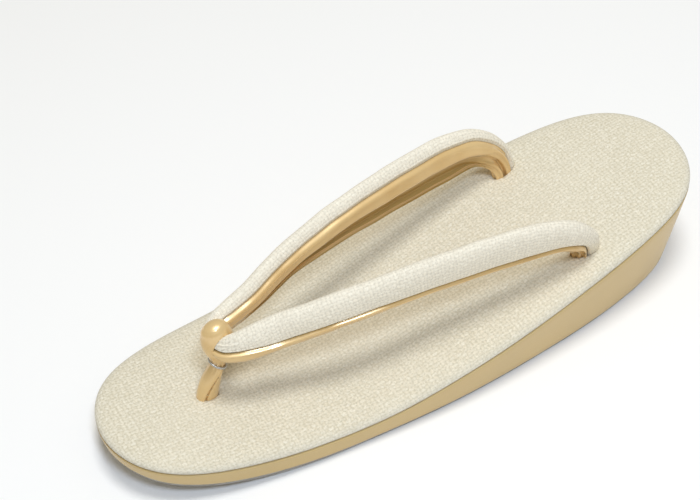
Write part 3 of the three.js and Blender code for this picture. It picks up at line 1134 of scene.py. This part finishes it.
def makeStrap(name, s, lining, material):
    points, faces, places, paintedShades = [], [], [], []
    for side in (1, -1):
        p, f, w, d = strapShell(side, s, lining)
        start = sum(len(x) for x in points)
        points.append(p)
        paintedShades.append(d)
        places.append(w if side > 0 else w * (1, -1))
        faces += [tuple(start + i for i in face) for face in f]
    piece = makePiece(name, np.concatenate(points), faces, material)
    layWeave(piece, np.concatenate(places))
    # the painted shade goes to the lining's material as a point attribute
    shade = piece.data.attributes.new("paintedShade", "FLOAT", "POINT")
    shade.data.foreach_set("value", np.concatenate(paintedShades).astype(np.float32))
    facesOutward(piece)
    finishPiece(piece, "strap")


goldLining = coatedLeather("strap_leather", strapLeather)
makeStrap("strap_cloth_cover", strap, False, wovenCloth("strap_weave", strapCloth))
makeStrap("strap_lining", strap, True, goldLining)
print("strap ready")


# ---- toe loop: a leather tube, open at the seam down its post, wrapped over the strap's apex

strapRoom = {
    "stepsPerRow": 4,
    "rows": 8,
    "points": 40,
    "past": 0.2,
}


# The strap near its apex as a plain tube, to cut the room that it takes out of the loop.
def plainStrap(side, swell, s=strapRoom):
    steps = (len(strap["rows"]) - 1) * s["stepsPerRow"]
    at, centres, across, proud, width, thickness = strapFrames(side, steps)
    turn = np.linspace(0, 2 * np.pi, s["points"], endpoint=False)
    rings = [centres[k] + np.outer(np.cos(turn), across[k]) * (width[k] + swell)
             + np.outer(np.sin(turn), proud[k]) * (thickness[k] + swell)
             for k in np.flatnonzero(at < s["rows"])]
    rings[0] = rings[0] - (centres[1] - centres[0]) * s["past"]
    count = s["points"]
    faces = ringFaces(len(rings), count)
    faces += [tuple(range(count))[::-1], tuple(range(count * (len(rings) - 1), count * len(rings)))]
    return makePiece("strap_room", np.concatenate(rings), faces, goldLining)


def makeToeLoop(s):
    steps = (len(s["rows"]) - 1) * s["stepsPerRow"]
    at, centres, rear, across, along = loopFrames(steps)
    index = np.arange(len(s["rows"]))
    seamAt = np.radians(smooth(index, s["seamAt"], at))
    openness = np.clip(smooth(index, s["seamOpen"], at), 0, 1)
    turn = np.linspace(0, 2 * np.pi, s["sides"], endpoint=False)
    rings, seamLine = [], []
    for k in range(len(at)):
        spot = turn - s["crowding"] * np.sin(turn) * openness[k] + seamAt[k]
        fromSeam = (spot - seamAt[k] + np.pi) % (2 * np.pi) - np.pi
        arc = fromSeam * (across[k] + along[k]) / 2
        push = -s["seamDepth"] * openness[k] * bell(arc, 0, s["seamWidth"])
        lap = bell(arc, -s["lapWidth"] * s["lapPlace"], s["lapWidth"]) * (arc < 0)
        push = push + s["lap"] * openness[k] * lap
        nearNeck = bell(at[k], s["neckRow"], s["neckRows"])
        push = push + s["gatherDepth"] * nearNeck * np.sin(s["gathers"] * spot)
        x = (across[k] + push) * np.cos(spot)
        y = (along[k] + push) * np.sin(spot)
        rings.append(centres[k] + np.outer(x, (1, 0, 0)) + np.outer(y, rear[k]))
        if s["stitchedRows"][0] < at[k] < s["stitchedRows"][1]:
            x = (across[k] - s["stitchInset"]) * math.cos(seamAt[k])
            y = (along[k] - s["stitchInset"]) * math.sin(seamAt[k])
            seamLine.append(centres[k] + np.array([x, 0, 0]) + rear[k] * y)
    count = s["sides"]
    points = np.concatenate(rings)
    ahead = centres[-1] - centres[-2]
    tip = centres[-1] + ahead / np.linalg.norm(ahead) * s["crown"]
    points = np.concatenate([points, [centres[0], tip]])
    faces = ringFaces(len(rings), count)
    foot, last = len(points) - 2, count * (len(rings) - 1)
    faces += [(foot, (i + 1) % count, i) for i in range(count)]
    faces += [(foot + 1, last + i, last + (i + 1) % count) for i in range(count)]
    loop = makePiece("toe_loop_leather", points, faces, goldLining)
    facesOutward(loop)
    for side in (1, -1):
        room = plainStrap(side, s["clearance"])
        facesOutward(room)
        cut = loop.modifiers.new("room", "BOOLEAN")
        cut.operation = "DIFFERENCE"
        cut.solver = "EXACT"
        cut.object = room
        settle(loop)
        bpy.data.objects.remove(room)
    loop.data.shade_smooth()
    loop.data.set_sharp_from_angle(angle=math.radians(s["sharpAbove"]))
    finishPiece(loop, "toe_loop")
    return seamLine


stitchLook = {
    "pitch": 2.3,
    "thread": 0.42,
    "long": 1.5,
    "slant": 76.0,
    "colour": (0.74, 0.56, 0.30),
    "dark": (0.5, 0.35, 0.16),
    "strandScale": 5000.0,
    "relief": 0.08,
    "bump": 0.7,
    "rough": 0.6,
}


# Fine strands on a thread or cord, dark between them.
def strandMaterial(name, s, light):
    material, tree, shader = newMaterial(name)
    spot = addNode(tree, "ShaderNodeTexCoord").outputs["Object"]
    strands = noiseOn(tree, spot, s["strandScale"])
    tree.links.new(mixColours(tree, strands, s["dark"], light), shader.inputs["Base Color"])
    addBump(tree, shader, strands, s["relief"], s["bump"])
    shader.inputs["Roughness"].default_value = s["rough"]
    return material, shader


def makeStitches(line, s):
    stitches = makeGuide("post_stitches", line, [(i, i + 1) for i in range(len(line) - 1)])
    material = strandMaterial("gold_thread", s, s["colour"])[0]
    tree, start, end, names = newTree("stitch_row", [
        ("Pitch", "NodeSocketFloat", 0.002),
        ("Thread", "NodeSocketFloat", 0.0004),
        ("Stitch Length", "NodeSocketFloat", 0.0015),
        ("Slant", "NodeSocketFloat", 0.0),
        ("Material", "NodeSocketMaterial", None),
    ])
    curve = addNode(tree, "GeometryNodeMeshToCurve", {"Mesh": start.outputs["Geometry"]})
    spaced = addNode(tree, "GeometryNodeResampleCurve",
                     {"Curve": curve.outputs["Curve"], "Length": start.outputs["Pitch"]}, mode="LENGTH")
    tangent = addNode(tree, "GeometryNodeInputTangent")
    turned = addNode(tree, "FunctionNodeAlignRotationToVector", {"Vector": tangent.outputs[0]}, axis="Z")
    slanted = addNode(tree, "FunctionNodeRotateRotation", {"Rotation": turned.outputs[0]},
                      rotation_space="LOCAL")
    swing = addNode(tree, "FunctionNodeAxisAngleToRotation",
                    {"Axis": (1.0, 0.0, 0.0), "Angle": start.outputs["Slant"]})
    tree.links.new(swing.outputs[0], slanted.inputs["Rotate By"])
    bead = addNode(tree, "GeometryNodeMeshUVSphere", {"Segments": 8, "Rings": 6, "Radius": 0.5})
    thread = start.outputs["Thread"]
    shape = addNode(tree, "ShaderNodeCombineXYZ", {0: thread, 1: thread, 2: start.outputs["Stitch Length"]})
    row = addNode(tree, "GeometryNodeInstanceOnPoints", {
        "Points": spaced.outputs["Curve"], "Instance": bead.outputs["Mesh"],
        "Rotation": slanted.outputs[0], "Scale": shape.outputs[0]})
    soft = addNode(tree, "GeometryNodeSetShadeSmooth", {"Geometry": row.outputs["Instances"]})
    endTree(tree, start, end, soft.outputs["Geometry"])
    growWith(stitches, tree, names, {
        "Pitch": s["pitch"] * mm, "Thread": s["thread"] * mm, "Stitch Length": s["long"] * mm,
        "Slant": math.radians(s["slant"]), "Material": material})
    finishPiece(stitches)


makeStitches(makeToeLoop(toeLoop), stitchLook)
print("toe loop ready")


# ---- binding: a fine silver cord wound round the neck of the loop

bindingLook = {
    "centre": (0, -75.0, 27.2),
    "across": 3.2,
    "along": 3.05,
    "cord": 0.5,
    "pitch": 32.0,
    "steps": 160,
    "sides": 14,
    "twist": 46,
    "strand": 0.06,
    "silver": (0.80, 0.79, 0.76),
    "dark": (0.45, 0.43, 0.40),
    "strandScale": 3500.0,
    "relief": 0.06,
    "bump": 0.6,
    "rough": 0.32,
    "metal": 0.75,
}


def makeBinding(s):
    around = np.linspace(0, 2 * np.pi, s["steps"], endpoint=False)
    ring = np.linspace(0, 2 * np.pi, s["sides"], endpoint=False)
    lean = math.radians(s["pitch"])
    rings = []
    for a in around:
        thick = s["cord"] + s["strand"] * (np.cos(ring * 2 + a * s["twist"]) - 1)
        out = thick * np.cos(ring)
        x = (s["across"] + out) * math.cos(a)
        y = (s["along"] + out) * math.sin(a)
        z = thick * np.sin(ring)
        leant = [x, y * math.cos(lean) + z * math.sin(lean), -y * math.sin(lean) + z * math.cos(lean)]
        rings.append(np.stack(leant, 1) + s["centre"])
    points = np.concatenate(rings)
    count = len(ring)
    faces = ringFaces(len(rings), count)
    last = count * (len(rings) - 1)
    faces += [(last + i, last + (i + 1) % count, (i + 1) % count, i) for i in range(count)]
    material, shader = strandMaterial("silver_cord", s, s["silver"])
    shader.inputs["Metallic"].default_value = s["metal"]
    binding = makePiece("neck_binding", points, faces, material)
    facesOutward(binding)
    finishPiece(binding, "binding_ring")


makeBinding(bindingLook)
print("binding ready")
